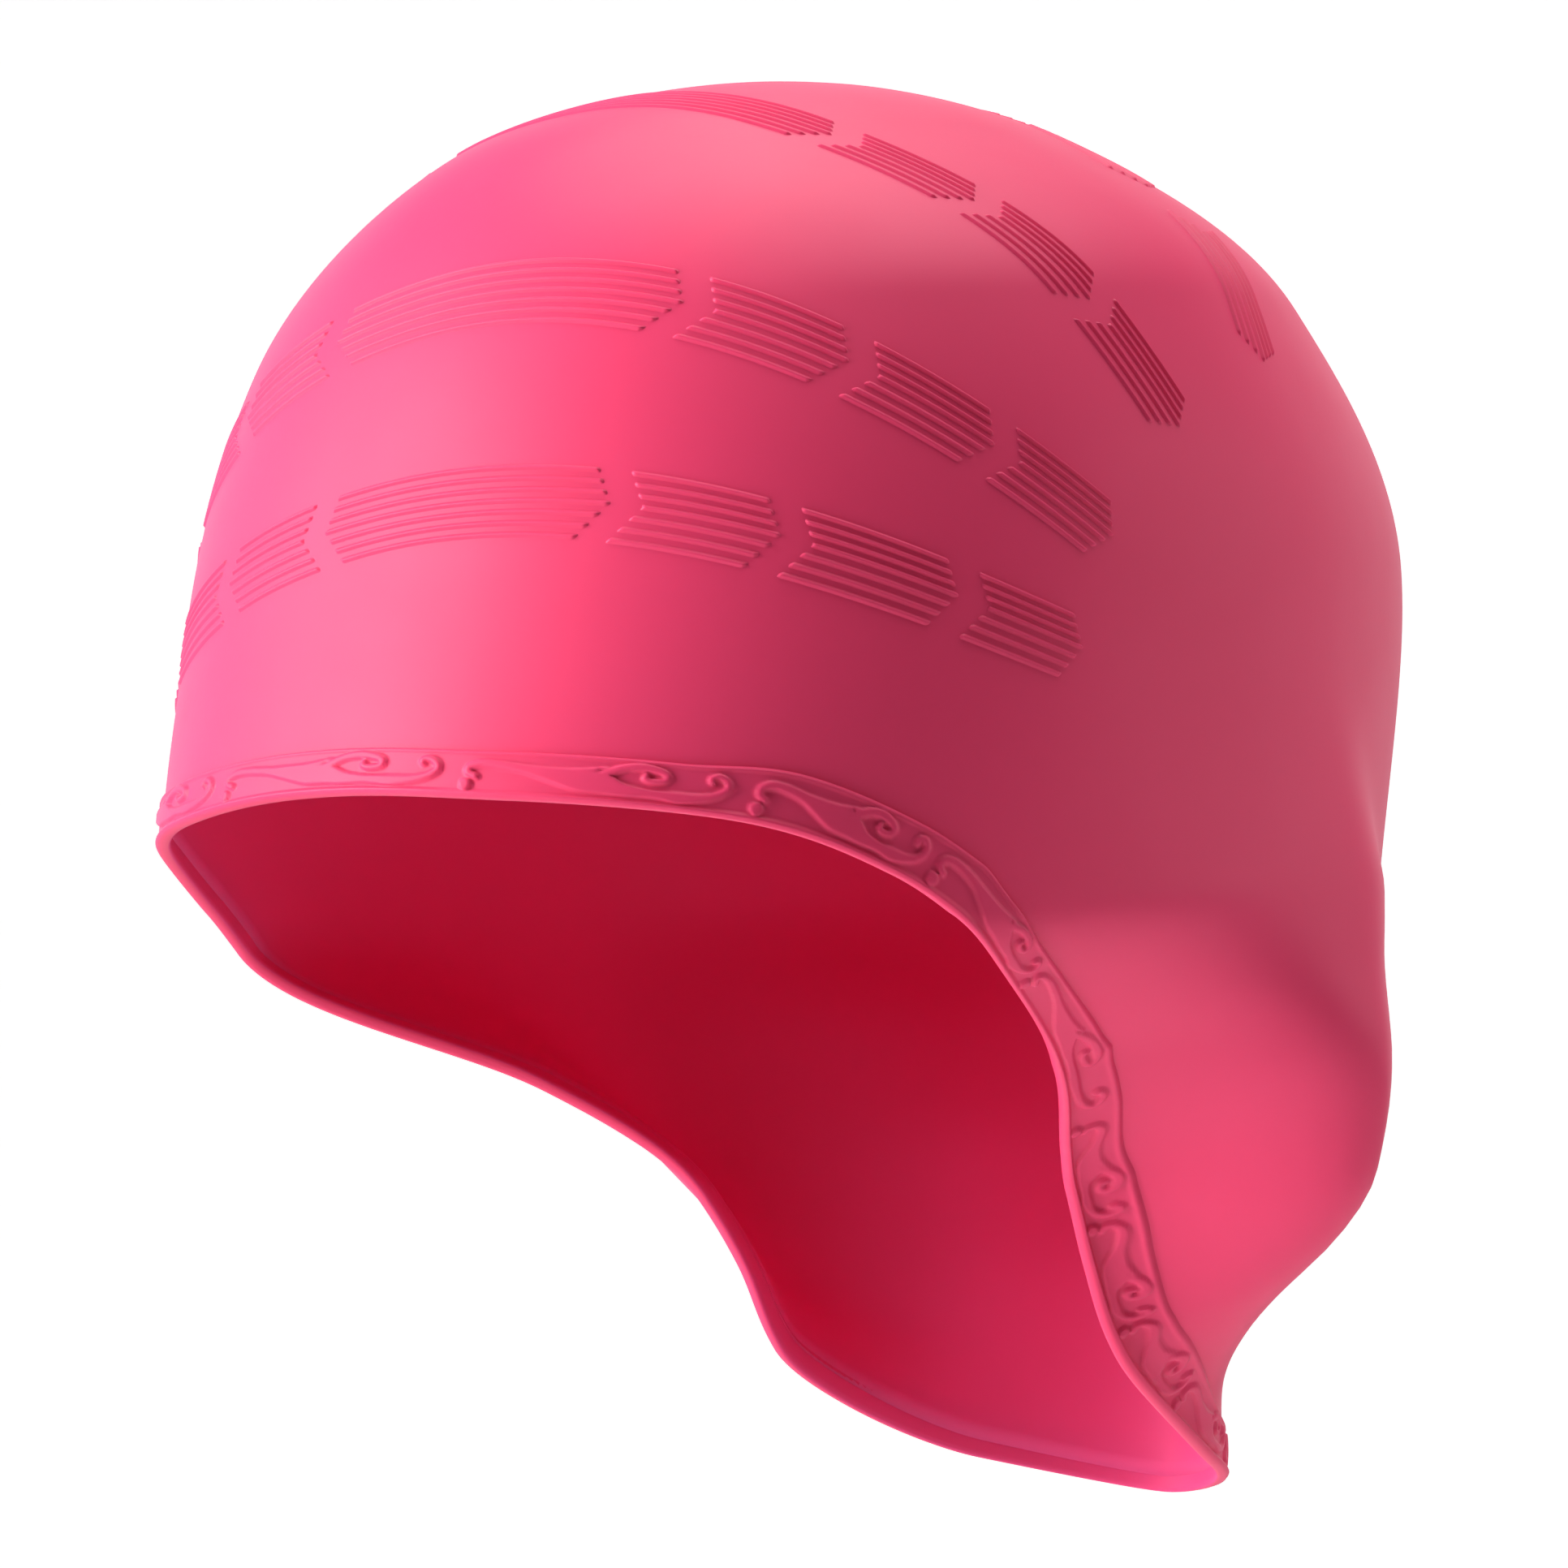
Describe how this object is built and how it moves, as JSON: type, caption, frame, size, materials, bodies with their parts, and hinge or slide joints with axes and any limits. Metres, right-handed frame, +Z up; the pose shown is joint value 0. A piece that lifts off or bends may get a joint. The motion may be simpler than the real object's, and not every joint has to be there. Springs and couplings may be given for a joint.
{
  "type": "silicone swim cap",
  "caption": "Moulded silicone swim cap in bonnet form with ear pockets, a nape, ribbed dashes over the dome and a raised scroll border along its rim.",
  "frame": {"origin": "inside of the crown, where the cap sits on top of the head", "axes": "+Z up out of the crown, -Y towards the forehead, +X towards the wearer's left"},
  "size_m": [0.1565, 0.2034, 0.214],
  "materials": {
    "silicone": "satin pink silicone, semi-gloss outside and plain inside"
  },
  "bodies": {
    "root": {"swim_cap": "silicone"}
  },
  "joints": []
}
